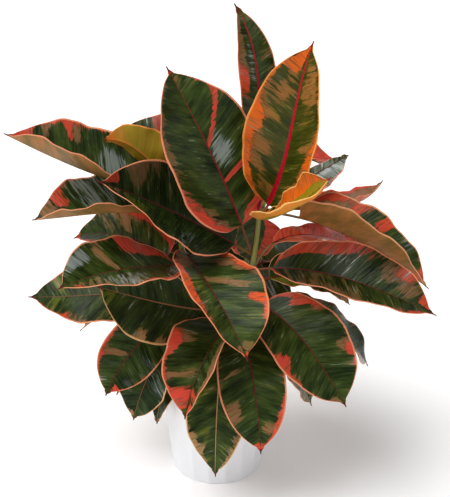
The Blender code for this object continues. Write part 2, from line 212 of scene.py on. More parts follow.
@dataclass(frozen=True)
class LeafFinish:
    """Colours of one kind of blade, marked along its side veins."""

    name: str
    dark: Colour
    light: Colour
    olive: Colour
    mottle: Colour
    coral: Colour
    coral_warm: Colour
    rim: Colour
    rim_warm: Colour
    rib: Colour
    under: Colour
    under_warm: Colour
    under_gold: Colour
    gold: Colour
    deep: Colour
    rib_bright: Colour = screen(170, 24, 46)
    # Grey of the painted sheen: streaks in the colour that stand in for highlights
    silver: Colour = screen(172, 182, 178)
    # Blue-green of a painted veil that stands in for the pale room's reflection
    painted_veil_blue: Colour = screen(30, 50, 42)
    shadow: Colour = (0.004, 0.005, 0.004)
    roughness: float = 0.24
    back_roughness: float = 0.26
    gloss: float = 0.13
    coat_roughness: float = 0.16
    vein_gap: float = 0.0052
    slant: float = 0.50
    relief: float = 0.00040
    middle_gap: float = 0.0001
    half_shift: float = 3.7
    broad: Grain = Grain(46.0, 17.0, 0.0, 3.0, 0.55)
    second: Grain = Grain(95.0, 30.0, 11.0, 3.0, 0.6)
    streak: Grain = Grain(330.0, 34.0, 0.0, 2.0, 0.6)
    fine: Grain = Grain(1100.0, 90.0, 0.0, 1.0, 0.5)
    coral_edge: Pair = (0.38, 0.50)
    brown_edge: Pair = (0.28, 0.46)
    gold_edge: Pair = (0.30, 0.60)
    side_edge: Pair = (0.45, 0.55)
    rim_edge: Pair = (0.952, 0.972)
    rim_edge_below: Pair = (0.94, 0.965)
    rib_edge: Pair = (0.75, 1.15)
    drip_edge: Pair = (0.952, 0.975)
    stalk_edge: Pair = (-0.002, 0.03)

    def material(self) -> bpy.types.Material:
        """Build the blade's material from what each leaf's mesh says of its place.

        Returns:
            The material.
        """
        graph = Graph(bpy.data.materials.new(self.name))
        blend = graph.blend
        out, along, seed = graph.attribute("leaf_place")
        margin, share, upper = graph.attribute("leaf_share")
        marked, mottled, golden = graph.attribute("leaf_marks")
        pale, warmth, rib_width = graph.attribute("leaf_tint")
        # Painted sheen, painted shade and a painted bluish veil, each as the leaf's mesh holds it; the sheen
        # marks also set the coat and roughness
        silver, shade, painted_veil = graph.attribute("leaf_cast")
        rib_red, rib_pale, _ = graph.attribute("leaf_rib")

        # Noise that lies along the side veins and differs between the halves, each about 0
        width = abs(out)
        vein = along - width * self.slant
        half = seed + out.rise(-self.middle_gap, self.middle_gap) * self.half_shift
        broad, second, streak, fine = (
            graph.cloud(graph.vector(vein * grain.along, width * grain.across, half + grain.shift),
                        1.0, grain.layers, grain.rough) - 0.5
            for grain in (self.broad, self.second, self.streak, self.fine))
        jagged = streak * 0.8 + second * 0.6
        ridge = (vein * (math.tau / self.vein_gap) + streak * 9.0).sine() * 0.5

        # How much coral and brown lies over the green
        score = (margin ** 3.0) * 0.14 + broad * 0.8 + jagged + marked
        torn = (streak * 1.6 + fine * 0.7 + second * 0.6).rise(0.06, 0.36) * 0.65
        coral = score.rise(*self.coral_edge) * (1.0 - torn)
        stain = (score - 0.10) * 0.6 + (margin ** 2.0) * 0.16 + second * 1.1 + streak * 0.7 + mottled
        thin = (streak * 1.6 + fine * 0.7).rise(0.02, 0.34) * 0.6
        brown = stain.rise(*self.brown_edge) * (1.0 - thin) * 0.72

        # The upper side's green, coral and brown
        tone = (second + broad * 0.6 + fine * 0.15 + streak * 0.25 + 0.5).rise(0.2, 0.95)
        green = blend(tone, self.dark, self.light)
        green = blend((ridge + fine * 0.4).rise(0.36, 0.50) * 0.22, green, self.light)
        muddy = (second + broad * 0.5 + mottled * 0.8 + streak * 0.6).rise(0.16, 0.50) * 0.5
        green = blend(muddy, green, self.olive)
        green = blend((golden + broad * 1.4 + jagged).rise(*self.gold_edge), green, self.gold)
        # A painted bluish veil over the green, in place of the pale room's reflection
        green = blend(painted_veil * 0.55, green, self.painted_veil_blue)
        red = blend((warmth + second * 1.6).rise(0.0, 1.0), self.coral, self.coral_warm)
        red = blend((fine * 0.6 + streak * 1.2 + second * 1.1 + 0.5).rise(0.42, 0.86) * 0.8, red, self.deep)
        red = blend((margin * 0.4 + streak * 0.9 + broad).rise(0.35, 0.75) * 0.35, red, self.rim)
        tan = blend(pale * 0.55, self.mottle, self.rim_warm)
        tan = blend((streak * 1.3 + second + fine * 0.5 + 0.5).rise(0.42, 0.80) * 0.75, tan, self.olive)
        tan = blend(score.rise(0.22, 0.42) * 0.6, tan, self.deep)
        face = blend(coral, blend(brown, green, tan), red)

        # Its painted sheen and glints, grey streaks that stand in for highlights, and its painted shade
        # Where grey streaks are painted as highlights; the same mask weights the clear coat below
        glint = (silver * 1.1 + streak * 2.0 + fine * 0.8 + broad * 0.5).rise(0.45, 0.90)
        matt = (0.0 - silver).rise(0.0, 0.8)
        # Small painted highlights: white dashes along the veins
        spark = (streak * 1.7 + fine * 1.4 + second * 0.8 - matt).rise(0.42, 0.62)
        face = blend(glint * 0.42, face, self.silver)
        face = blend(spark * 0.34, face, self.silver)
        face = blend(shade, face, self.shadow)

        # Rim and midrib
        rim = blend(warmth.rise(0.5, 0.8) * 0.5, self.rim, self.coral_warm)
        rim = blend(pale, rim, self.rim_warm)
        face = blend((margin + streak * 0.03).rise(*self.rim_edge), face, rim)
        on_rib = 1.0 - (width / rib_width).rise(*self.rib_edge)
        rib = blend(rib_pale, blend(rib_red, self.rib, self.rib_bright), self.rim_warm)
        face = blend(on_rib, face, rib)

        # The lower side
        flushed = (broad * 0.7 + second * 0.5 + warmth * 0.3 + 0.6).rise(0.5, 0.95)
        back = blend(flushed, self.under, self.under_warm)
        back = blend((golden + broad).rise(0.3, 0.7), back, self.under_gold)
        back = blend(coral * 0.6, back, self.coral_warm)
        back = blend((fine * 0.5 + streak * 0.6 + 0.5).rise(0.45, 0.9) * 0.25, back, self.olive)
        back = blend(on_rib * 0.6, back, self.rib)
        back = blend(margin.rise(*self.rim_edge_below), back, rim)

        # Both sides, the drip tip and the stalk
        above = upper.rise(*self.side_edge)
        colour = blend(above, back, face)
        colour = blend(share.rise(*self.drip_edge), colour, self.rib)
        stalk = blend((fine + streak * 0.5 + 0.5).rise(0.2, 0.9), self.rib, self.under)
        colour = blend(share.rise(*self.stalk_edge), stalk, colour)
        height = ridge * 0.26 + streak * 0.40 + fine * 0.12 + second * 1.6
        rough = (1.0 - above) * self.back_roughness + streak * 0.16 + matt * 0.5 + self.roughness
        wax = (glint + (streak * 1.2 + broad * 1.2).rise(0.10, 0.45) * 0.5).rise(0.0, 1.0)
        graph.dress(Base_Color=colour, Roughness=rough, Normal=graph.relief(height, self.relief),
                    Coat_Weight=above * wax * (1.0 - matt), Coat_Roughness=self.coat_roughness,
                    Specular_IOR_Level=self.gloss)
        return graph.owner


@dataclass(frozen=True)
class PlainFinish:
    """A surface of one kind of stuff, with cloudy tone and fine relief."""

    name: str
    base: Colour
    other: Colour
    roughness: float
    scale: float
    grain: float
    depth: float
    stretch: Point = (1.0, 1.0, 1.0)
    glow: float = 0.0
    layers: Pair = (4.0, 3.0)
    rough: float = 0.6
    shares: Pair = (0.7, 0.3)
    tone_edge: Pair = (0.35, 0.65)
    patchiness: float = 0.2

    def material(self) -> bpy.types.Material:
        """Build the material from the object's own coordinates.

        Returns:
            The material.
        """
        graph = Graph(bpy.data.materials.new(self.name))
        place = graph.node("ShaderNodeTexCoord", {}, {}, "Object")
        place = graph.node("ShaderNodeVectorMath", {"operation": "MULTIPLY"}, {0: place, 1: self.stretch})
        tone = graph.cloud(place, self.scale, self.layers[0], self.rough)
        grain = graph.cloud(place, self.grain, self.layers[1], self.rough)
        spread = (tone * self.shares[0] + grain * self.shares[1]).rise(*self.tone_edge)
        graph.dress(Base_Color=graph.blend(spread, self.base, self.other),
                    Roughness=(grain - 0.5) * self.patchiness + self.roughness,
                    Normal=graph.relief(grain, self.depth), Emission_Strength=self.glow)
        return graph.owner


MATURE = LeafFinish(
    name="leaf_mature", dark=screen(24, 36, 14), light=screen(76, 92, 42), olive=screen(106, 90, 46),
    mottle=screen(128, 78, 60), coral=screen(202, 72, 56), coral_warm=screen(218, 88, 42),
    rim=screen(226, 126, 98), rim_warm=screen(222, 172, 116), rib=screen(96, 30, 36),
    under=screen(120, 98, 50), under_warm=screen(188, 122, 70), under_gold=screen(120, 104, 40),
    gold=screen(96, 104, 32), deep=screen(126, 50, 42))
YOUNG = LeafFinish(
    name="leaf_young", dark=screen(44, 54, 14), light=screen(92, 90, 36), olive=screen(122, 86, 36),
    mottle=screen(150, 88, 44), coral=screen(214, 76, 34), coral_warm=screen(226, 106, 30),
    rim=screen(240, 150, 66), rim_warm=screen(246, 190, 110), rib=screen(140, 20, 36),
    under=screen(158, 112, 40), under_warm=screen(214, 132, 54), under_gold=screen(150, 126, 34),
    gold=screen(142, 122, 28), deep=screen(156, 74, 40), rib_bright=screen(180, 20, 42))
STEM_FINISH = PlainFinish("stem_bark", screen(132, 134, 50), screen(96, 88, 40), 0.5, 60.0, 420.0, 0.0004,
                          (1.0, 1.0, 0.3))
BUD_FINISH = PlainFinish("bud_sheath", screen(160, 24, 40), screen(110, 12, 26), 0.36, 90.0, 500.0, 0.0002,
                         (1.0, 1.0, 0.2))
SOIL_FINISH = PlainFinish("soil_crumbs", screen(52, 38, 28), screen(26, 19, 14), 0.95, 140.0, 700.0, 0.0012)
POT_FINISH = PlainFinish("pot_white", screen(241, 241, 243), screen(236, 237, 240), 0.32, 9.0, 260.0, 0.00002)
FLOOR_FINISH = PlainFinish("studio_floor", (0.95, 0.95, 0.95), (0.94, 0.94, 0.94), 0.9, 2.0, 40.0, 0.0,
                           glow=0.12)


class Slot(Enum):
    """Material slot names."""

    POT = "pot"
    SOIL = "soil"
    STEM = "stem"
    BUD = "bud"
    LEAF = "leaf"
    LEAF_YOUNG = "leaf_young"


def make_mesh(name: str, places: np.ndarray, faces: Sequence[Sequence[int]]) -> bpy.types.Object:
    """Make a smooth mesh object.

    Args:
        name: Its name.
        places: One row of x, y and z for each vertex.
        faces: Vertex numbers of each face, facing out.

    Returns:
        The object, linked to the scene.
    """
    mesh = bpy.data.meshes.new(name)
    mesh.from_pydata(places.tolist(), [], faces)
    mesh.shade_smooth()
    piece = bpy.data.objects.new(name, mesh)
    bpy.context.scene.collection.objects.link(piece)
    return piece


def store(piece: bpy.types.Object, name: str, values: np.ndarray) -> None:
    """Keep a vector at each vertex of a mesh object, under a name that the shader reads."""
    layer = piece.data.attributes.new(name, "FLOAT_VECTOR", "POINT")
    layer.data.foreach_set("vector", np.ascontiguousarray(values, dtype=np.float32).ravel())


def circle(count: int) -> list[float]:
    """Angles at even steps round a full turn."""
    return [math.tau * step / count for step in range(count)]


def ring_faces(rings: int, count: int) -> list[tuple[int, ...]]:
    """Join closed rings of points into a skin with closed ends.

    Args:
        rings: How many rings there are.
        count: Points in each.

    Returns:
        The faces.
    """
    faces: list[tuple[int, ...]] = []
    for low in range(0, (rings - 1) * count, count):
        for step in range(count):
            after = (step + 1) % count
            faces.append((low + step, low + after, low + count + after, low + count + step))
    return faces + [tuple(reversed(range(count))), tuple(range((rings - 1) * count, rings * count))]


def fan_faces(rings: int, count: int) -> list[tuple[int, ...]]:
    """Join a middle point, numbered 0, with the rings of points that follow it.

    Args:
        rings: How many rings there are.
        count: Points in each.

    Returns:
        The faces.
    """
    faces: list[tuple[int, ...]] = []
    for step in range(count):
        after = (step + 1) % count
        faces.append((0, 1 + step, 1 + after))
        for low in range(1, (rings - 1) * count, count):
            faces.append((low + step, low + count + step, low + count + after, low + after))
    return faces


def hand_over(piece: bpy.types.Object, node: str, material: bpy.types.Material) -> None:
    """Dress a piece and let it stand for its node.

    Args:
        piece: The finished piece.
        node: The CAD node's name.
        material: What it is made of.
    """
    piece.data.materials.append(material)
    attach(piece, "root")
    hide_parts(node)
    LOG.info("%s stands for %s with %d faces", piece.name, node, len(piece.data.polygons))


@dataclass(frozen=True)
class Pot:
    """The fluted pot: sizes as in the solid, with finer flutes and a rounded lip and foot."""

    height: float = 0.140
    base_radius: float = 0.060
    rim_radius: float = 0.075
    wall: float = 0.0035
    floor: float = 0.005
    floor_round: float = 0.001
    foot_round: float = 0.003
    lip_round: float = 0.0015
    flutes: int = 18
    steps_per_flute: int = 14
    flute_depth: float = 0.0016
    inner_rings: int = 8
    lip_steps: int = 8
    outer_rings: int = 12
    foot_steps: int = 5
    floor_rings: tuple[float, ...] = (0.4, 0.8, 0.95)
    base_rings: tuple[float, ...] = (0.8, 0.4)

    def radius(self, height: float) -> float:
        """The outer radius at a height."""
        return self.base_radius + (self.rim_radius - self.base_radius) * height / self.height

    def pressed(self, angle: float) -> float:
        """How far the flutes lie inside the ridges at an angle round the pot."""
        across = (angle * self.flutes / math.tau) % 1.0
        return self.flute_depth * math.sin(math.pi * across)

    def profile(self) -> list[tuple[float, float, float]]:
        """The pot's outline from the inside middle, over the lip, to the outside middle.

        Returns:
            Radius, height and how fully the flutes press in, for each point.
        """
        points = [(0.0, self.floor, 0.0)]
        inner_foot = self.radius(self.floor) - self.wall
        points += [(inner_foot * share, self.floor, 0.0) for share in self.floor_rings]
        shoulder = self.height - self.lip_round
        for share in np.linspace(0.0, 1.0, self.inner_rings):
            height = self.floor + self.floor_round + (shoulder - self.floor - self.floor_round) * share
            points.append((self.radius(height) - self.wall, height, 0.0))
        middle = self.rim_radius - 0.5 * self.wall
        for step in range(1, self.lip_steps):
            angle = math.pi * (1.0 - step / self.lip_steps)
            radius = middle + 0.5 * self.wall * math.cos(angle)
            height = self.height - self.lip_round * (1.0 - math.sin(angle))
            points.append((radius, height, step / self.lip_steps))
        for share in np.linspace(1.0, 0.0, self.outer_rings):
            height = self.foot_round + (shoulder - self.foot_round) * share
            points.append((self.radius(height), height, 1.0))
        for step in range(1, self.foot_steps + 1):
            angle = 0.5 * math.pi * step / self.foot_steps
            radius = self.radius(0.0) - self.foot_round * (1.0 - math.cos(angle))
            points.append((radius, self.foot_round * (1.0 - math.sin(angle)), 1.0 - step / self.foot_steps))
        points += [(self.base_radius * share, 0.0, 0.0) for share in self.base_rings]
        return points + [(0.0, 0.0, 0.0)]

    def build(self) -> None:
        """Turn the outline about the middle, press the flutes in and dress the pot."""
        steps = self.flutes * self.steps_per_flute
        profile = self.profile()
        places = [(0.0, 0.0, profile[0][1])]
        for radius, height, share in profile[1:-1]:
            for angle in circle(steps):
                reach = radius - share * self.pressed(angle)
                places.append((reach * math.cos(angle), reach * math.sin(angle), height))
        last = len(places) - steps
        places.append((0.0, 0.0, 0.0))
        faces = fan_faces(len(profile) - 2, steps)
        faces += [(last + step, len(places) - 1, last + (step + 1) % steps) for step in range(steps)]
        hand_over(make_mesh("pot_fluted", np.array(places), faces), "pot", POT_FINISH.material())


@dataclass(frozen=True)
class Stem:
    """One upright stem and the bud on its head."""

    name: str
    foot: Pair
    head: Point
    lean: Pair
    soil: float = 0.122
    hole: float = 0.030
    hole_gap: float = 0.0006
    foot_radius: float = 0.0048
    head_radius: float = 0.0026
    rings: int = 120
    sides: int = 20
    scar_size: float = 0.0011
    scar_swell: float = 0.07
    bud_length: float = 0.030
    bud_radius: float = 0.0024
    bud_seat: float = 0.0005
    bud_rings: int = 40
    bud_places: tuple[float, ...] = (0.0, 0.2, 0.5, 0.8, 1.0)
    bud_sizes: tuple[float, ...] = (0.95, 1.0, 0.8, 0.4, 0.06)
    bud_reading: float = 0.01
    seam_facing: Point = (0.0, -1.0, 0.2)
    seam_depth: float = 0.16
    seam_turn: float = 2.4
    seam_width: float = 0.28

    def risen(self, height: float) -> float:
        """The share of the way from the soil to the head at a height."""
        return min(max((height - self.soil) / (self.head[2] - self.soil), 0.0), 1.0)

    def axis(self, height: float) -> Vector:
        """The stem's middle at a height, on an easy curve from foot to head."""
        ease = float(smooth(0.0, 1.0, self.risen(height)))
        return Vector((*(low + (high - low) * ease for low, high in zip(self.foot, self.head)), height))

    def radius(self, height: float) -> float:
        """The stem's radius at a height."""
        return self.foot_radius + (self.head_radius - self.foot_radius) * self.risen(height)

    def build(self, scars: Iterable[float]) -> None:
        """Make the stem, ringed where leaves leave it, and its bud.

        Args:
            scars: Heights of the rings.
        """
        rings = []
        for height in np.linspace(self.soil - self.hole + self.hole_gap, self.head[2], self.rings):
            ridge = sum(math.exp(-(((height - scar) / self.scar_size) ** 2)) for scar in scars)
            radius = self.radius(height) * (1.0 + self.scar_swell * min(ridge, 1.0))
            middle = self.axis(height)
            rings += [(middle.x + radius * math.cos(angle), middle.y + radius * math.sin(angle), height)
                      for angle in circle(self.sides)]
        stem = make_mesh(f"stem_{self.name}_bark", np.array(rings), ring_faces(self.rings, self.sides))
        hand_over(stem, f"stem_{self.name}", STEM_FINISH.material())
        self.build_bud()

    def build_bud(self) -> None:
        """Make the pointed sheath round the next leaf, rolled with one seam."""
        lean = Vector((*self.lean, 1.0)).normalized()
        foot = Vector(self.head) - Vector(UP) * self.bud_seat
        places = []
        for ring in range(self.bud_rings):
            share = ring / (self.bud_rings - 1)
            middle, ahead = (foot + Vector(UP).lerp(lean, at) * self.bud_length * at
                             for at in (share, share + self.bud_reading))
            forward = (ahead - middle).normalized()
            side = forward.cross(Vector(self.seam_facing)).normalized()
            out = side.cross(forward)
            size = float(np.interp(share, self.bud_places, self.bud_sizes))
            for angle in circle(self.sides):
                past_seam = (angle + share * self.seam_turn) % math.tau - math.pi
                seam = 1.0 - self.seam_depth * math.exp(-((past_seam / self.seam_width) ** 2))
                reach = self.bud_radius * size * seam
                places.append(middle + side * reach * math.cos(angle) + out * reach * math.sin(angle))
        bud = make_mesh(f"bud_{self.name}_sheath", np.array(places), ring_faces(self.bud_rings, self.sides))
        hand_over(bud, f"bud_{self.name}", BUD_FINISH.material())


class Tone(Enum):
    """What a mark on a blade does, as the column that it fills."""

    CORAL = 0
    MOTTLE = 1
    GOLD = 2
    # Grey streaks painted as highlights; below 0 the leaf turns matt instead
    SILVER = 3


@dataclass(frozen=True)
class Mark:
    """A patch that runs along the side veins, with all but its side in percent.

    side is 1 right and -1 left of the midrib, seen from above with the tip ahead, and 0 both; at and
    spread are parts of the blade's length; near and far are parts of the half's width; drift is how
    much further ahead the patch lies at the margin than at the midrib. A sheen mark paints grey
    streaks that stand in for highlights; with a strength below 0 it takes the painted sheen away and
    makes the leaf matt.
    """

    tone: Tone
    side: int
    at: float
    spread: float
    strength: float
    near: float = 0.0
    far: float = 100.0
    drift: float = 0.0

    def cover(self, margin: np.ndarray, vein: np.ndarray, side: np.ndarray) -> np.ndarray:
        """How strongly the mark shows at each point.

        Args:
            margin: Share of the way to the margin.
            vein: Share of the blade's length where the point's side vein starts.
            side: 1 right of the midrib and -1 left of it.

        Returns:
            The strengths.
        """
        near, far, at = self.near / PERCENT, self.far / PERCENT, self.at / PERCENT
        window = smooth(near - NEAR_BLUR[0], near + NEAR_BLUR[1], margin)
        window = window * (1.0 - smooth(far - FAR_BLUR[0], far + FAR_BLUR[1], margin))
        middle = at + self.drift / PERCENT * (margin - 0.5)
        shape = np.exp(-(((vein - middle) / (self.spread / PERCENT)) ** 2)) * window
        return shape * (self.strength / PERCENT) * ((side == self.side) | (self.side == 0))


@dataclass(frozen=True)
class Look:
    """How one leaf is coloured: amounts from 0 to 1, its midrib's half width, and its own marks.

    Each row under a tone holds one mark's numbers from its side on.
    """

    warm: float = 0.3
    pale: float = 0.3
    rib: float = 0.0015
    rib_red: float = 0.0
    rib_pale: float = 0.0
    shade: float = 0.0
    # How much painted bluish veil, standing in for reflection, lies over the green
    painted_veil: float = 0.0
    finish: LeafFinish = MATURE
    coral: Rows = ()
    mottle: Rows = ()
    gold: Rows = ()
    # Marks of painted sheen: grey streaks that stand in for highlights
    silver: Rows = ()

    def marks(self) -> list[Mark]:
        """The leaf's marks in every tone."""
        return [Mark(tone, *row) for tone in Tone for row in getattr(self, tone.name.lower())]


@dataclass(frozen=True)
class Leaf:
    """One leaf: the same middle line and fold as its solid, with a finer blade.

    Sizes are in metres and angles in degrees. left and right are the halves' widths as shares of
    half the width, and widest is the share of the blade's length where it is widest.
    """

    stem: str
    height: float
    tip: Point
    width: float
    stalk: float
    lift: float
    end: float
    turn: float
    face: Point
    fold: float
    cup: float = 4.0
    twist: float = 0.0
    left: float = 1.0
    right: float = 1.0
    widest: float = 0.47
    look: Look = field(default_factory=Look)
    petiole_radius: float = 0.0016
    petiole_gap: float = 0.0003
    petiole_swell: float = 0.25
    swollen_part: Pair = (-0.75, -1.0)
    root_depth: float = 0.5
    thickness: float = 0.0009
    edge_round: float = 0.35
    rib_blur: float = 0.06
    groove: float = 0.25
    keel: float = 0.0012
    keel_loss: float = 0.8
    keel_width: Pair = (0.0011, 0.0008)
    drip_tip: float = 0.045
    drip_radius: float = 0.0010
    drip_taper: float = 1.6
    drip_end: float = 0.985
    drip_pinch: float = 0.55
    flare: float = 0.0042
    flare_start: float = 0.9
    flare_length: float = 0.016
    flare_power: float = 1.3
    blade_start: float = 0.05
    handle: float = 0.36
    base_fullness: Pair = (2.3, 0.72)
    tip_fullness: Pair = (2.4, 0.80)
    waves: float = 3.0
    wave_height: float = 0.0025
    ripples: float = 8.0
    ripple_height: float = 0.0006
    wave_width: float = 0.02
    quilt_gap: float = 0.0125
    quilt_height: float = 0.00028
    slant: float = 0.5
    rib_taper: Pair = (0.85, 0.7)
    seed_step: float = 1.618
    reading: float = 0.0015
    stem_reading: float = 0.005
    line_steps: int = 240
    stalk_stations: int = 10
    blade_stations: int = 76
    crowding: Pair = (0.065, 0.4)
    columns: tuple[float, ...] = (
        0.0, 0.02, 0.045, 0.08, 0.14, 0.22, 0.32, 0.43, 0.54, 0.65, 0.76, 0.86, 0.93, 0.975, 1.0)

    def midrib(self, stem: Stem) -> np.ndarray:
        """The leaf's middle line from inside the stem to its point.

        Args:
            stem: The stem that carries it.

        Returns:
            Points at even steps of the curve.
        """
        axis = stem.axis(self.height)
        tip = Vector(self.tip)
        heading = math.atan2(tip.y - axis.y, tip.x - axis.x)
        lift = math.radians(self.lift)
        turn = math.radians(self.turn)
        leave = self.slope_vector(heading + turn, lift)
        arrive = self.slope_vector(heading - turn, math.radians(self.end))
        outward = self.slope_vector(heading + turn, 0.0)
        climb = stem.axis(self.height + self.stem_reading) - stem.axis(self.height - self.stem_reading)
        tilt = math.atan2(climb.dot(outward), climb.z)
        seat = self.petiole_gap + self.petiole_radius * abs(math.sin(lift + tilt))
        reach = stem.radius(self.height) + seat
        start = axis + outward * reach / math.cos(tilt)
        handle = self.handle * (tip - start).length
        corners = np.array([start, start + leave * handle, tip - arrive * handle, tip])
        t = np.linspace(0.0, 1.0, self.line_steps)[:, None]
        line = ((1 - t) ** 3 * corners[0] + 3 * t * (1 - t) ** 2 * corners[1]
                + 3 * t * t * (1 - t) * corners[2] + t ** 3 * corners[3])
        root = np.array(start - leave * (reach * self.root_depth))
        return np.vstack([root[None, :], line])

    @staticmethod
    def slope_vector(heading: float, slope: float) -> Vector:
        """A direction with a compass heading and a slope, both in radians."""
        flat = math.cos(slope)
        return Vector((math.cos(heading) * flat, math.sin(heading) * flat, math.sin(slope)))

    def half_width(self, share: float) -> float:
        """Half the blade's width at a share of its length, as a part of the widest.

        Args:
            share: Share of the blade's length.

        Returns:
            The outline there.
        """
        if share < self.widest:
            past, (power, root) = (self.widest - share) / self.widest, self.base_fullness
        else:
            apex = 1.0 - self.drip_tip
            past, (power, root) = (share - self.widest) / (apex - self.widest), self.tip_fullness
        return (1.0 - min(past, 1.0) ** power) ** root

    def stations(self, stalk: float) -> list[tuple[float, float]]:
        """Where the rings lie.

        Args:
            stalk: The stalk's share of the whole line.

        Returns:
            The share of the line and of the blade, below 0 on the stalk, for each ring.
        """
        places = [(stalk * step / self.stalk_stations, step / self.stalk_stations - 1.0)
                  for step in range(self.stalk_stations)]
        crowd, ease = self.crowding
        for step in range(self.blade_stations + 1):
            even = step / self.blade_stations
            share = even - crowd * math.sin(math.tau * even) * (1.0 - ease * even)
            places.append((stalk + (1.0 - stalk) * share, share))
        return places

    def build(self, name: str, number: int, stem: Stem, material: bpy.types.Material) -> None:
        """Loft the leaf from its round stalk to its drip tip, and note each point's place on it.

        Args:
            name: The CAD node's name.
            number: The leaf's own number, which shifts its markings.
            stem: The stem that carries it.
            material: What it is made of.
        """
        line = self.midrib(stem)
        steps = np.linalg.norm(np.diff(line, axis=0), axis=1)
        run = np.concatenate([[0.0], np.cumsum(steps)])
        rooted = steps[0]
        length = run[-1] - rooted
        stalk = self.stalk / length
        blade_length = length * (1.0 - stalk)
        draw = random.Random(number)
        ripple = [draw.uniform(0.0, math.tau) for _ in range(4)]
        part = np.array([-value for value in reversed(self.columns[1:])] + list(self.columns))
        facing = Vector(self.face).normalized()
        top = np.concatenate([np.ones(len(part)), [0.5], np.zeros(len(part)), [0.5]])
        wide = np.concatenate([np.abs(part), [1.0], np.abs(part[::-1]), [1.0]])
        rings, places, shares = [], [], []
        for total, share in self.stations(stalk):
            reach = rooted + total * length if share > -1.0 else 0.0
            middle, ahead, behind = (
                Vector([np.interp(at, run, line[:, axis]) for axis in range(3)])
                for at in (reach, min(reach + self.reading, run[-1]), max(reach - self.reading, 0.0)))
            forward = (ahead - behind).normalized()
            level = (facing - forward * facing.dot(forward)).normalized()
            roll = math.radians(self.twist * max(share, 0.0))
            up = level * math.cos(roll) - forward.cross(level) * math.sin(roll)
            side = forward.cross(up)
            across, above, out = self.section(part, share, ripple, blade_length)
            rings.append(np.array(middle) + across[:, None] * np.array(side) + above[:, None] * np.array(up))
            same = np.ones(len(out))
            places.append(np.column_stack([
                out, same * max(share, 0.0) * blade_length, same * number * self.seed_step]))
            shares.append(np.column_stack([wide, same * share, top]))
        leaf = make_mesh(f"{name}_blade", np.vstack(rings), ring_faces(len(rings), len(part) * 2 + 2))
        self.note(leaf, np.vstack(places), np.vstack(shares), blade_length)
        hand_over(leaf, name, material)

    def section(self, part: np.ndarray, share: float, ripple: Sequence[float],
                length: float) -> tuple[np.ndarray, np.ndarray, np.ndarray]:
        """Outline of one ring: over the upper side, round the edge and back along the lower.

        Args:
            part: Columns from -1, the left margin, to 1.
            share: Share of the blade's length, below 0 on the stalk.
            ripple: Phases of the leaf's own ripples.
            length: The blade's length.

        Returns:
            Across and above the midrib, and the signed distance out along the blade, in metres.
        """
        on = max(share, 0.0)
        blade = float(smooth(0.0, self.blade_start, share))
        size = np.abs(part)
        sign = np.where(part > 0.0, 1.0, -1.0)

        # How far out each column lies, down to the thin drip tip
        half = 0.5 * self.width * self.half_width(on) * np.where(part > 0.0, self.right, self.left)
        width = np.maximum(half, self.drip_radius * (self.drip_taper - on))
        past_tip = max(on - 1.0 + self.drip_tip, 0.0)
        flare = self.flare * math.exp(-(past_tip / self.flare_length) ** self.flare_power)
        width = np.maximum(width, flare * (on > self.flare_start))
        width = width * float(1.0 - smooth(self.drip_end, 1.0, on) * self.drip_pinch)
        run = size * width

        # The fold at the midrib, the cup of the halves, the margin's waves and the puckers
        fold, cup = math.radians(self.fold), math.radians(self.cup) * size
        middle = fold + 0.5 * cup
        angle = (fold + cup) * smooth(0.0, self.rib_blur, size)
        spare = np.minimum(width / self.wave_width, 1.0)
        swell = self.wave_height * size ** 2 * spare * np.sin(math.tau * self.waves * on + sign)
        phase = math.tau * self.ripples * on + ripple[0] + sign * ripple[1]
        swell += self.ripple_height * size ** 3 * spare * np.sin(phase)
        vein = on * length - self.slant * run
        quilt = np.sin(vein * math.tau / self.quilt_gap + ripple[2] + sign * ripple[3])
        swell += self.quilt_height * spare * quilt * np.sin(math.pi * size)
        spine = np.column_stack([sign * run * np.cos(middle), run * np.sin(middle) + swell])

        # Both skins, with the midrib's groove above and its keel below
        keel_width = self.keel_width[0] + self.keel_width[1] * (1.0 - on)
        bell = np.exp(-((run / keel_width) ** 2))
        lean = np.column_stack([-sign * np.sin(angle), np.cos(angle)])
        over = 0.5 * self.thickness - self.groove * self.keel * (1.0 - on) * bell
        below = 0.5 * self.thickness + self.keel * (1.0 - self.keel_loss * on) * bell
        top = spine + lean * over[:, None]
        bottom = spine - lean * below[:, None]

        # The round stalk, which goes over into the blade
        turn = math.pi * (1.0 - (part + 1.0) * 0.5)
        swell = 1.0 + self.petiole_swell * float(smooth(*self.swollen_part, share))
        tube = np.column_stack([np.cos(turn), np.sin(turn)]) * (self.petiole_radius * swell)
        tube_low = tube * np.array([1.0, -1.0])
        top = tube + (top - tube) * blade
        bottom = tube_low + (bottom - tube_low) * blade
        edge = np.array([self.edge_round * self.thickness * blade, 0.0])
        right, left = 0.5 * (top[-1] + bottom[-1]) + edge, 0.5 * (top[0] + bottom[0]) - edge
        ring = np.vstack([top, right[None, :], bottom[::-1], left[None, :]])
        out = sign * run
        out = np.concatenate([out, [width[-1]], out[::-1], [-width[0]]])
        return ring[:, 0], ring[:, 1], out

    def note(self, leaf: bpy.types.Object, place: np.ndarray, share: np.ndarray, length: float) -> None:
        """Keep what the shader reads at each point of the blade.

        Args:
            leaf: The blade.
            place: Distance out, distance along and seed of each point.
            share: Margin share, blade share and side of each point.
            length: The blade's length.
        """
        look = self.look
        tones = np.zeros((len(place), len(Tone)))
        side = np.sign(place[:, 0])
        vein = (place[:, 1] - np.abs(place[:, 0]) * self.slant) / length
        for mark in look.marks():
            tones[:, mark.tone.value] += mark.cover(share[:, 0], vein, side)
        loss, power = self.rib_taper
        rib = look.rib * (1.0 - loss * np.clip(share[:, 1], 0.0, 1.0) ** power)
        same = np.ones(len(place))
        store(leaf, "leaf_place", place)
        store(leaf, "leaf_share", share)
        store(leaf, "leaf_marks", tones[:, :3])
        store(leaf, "leaf_tint", np.column_stack([same * look.pale, same * look.warm, rib]))
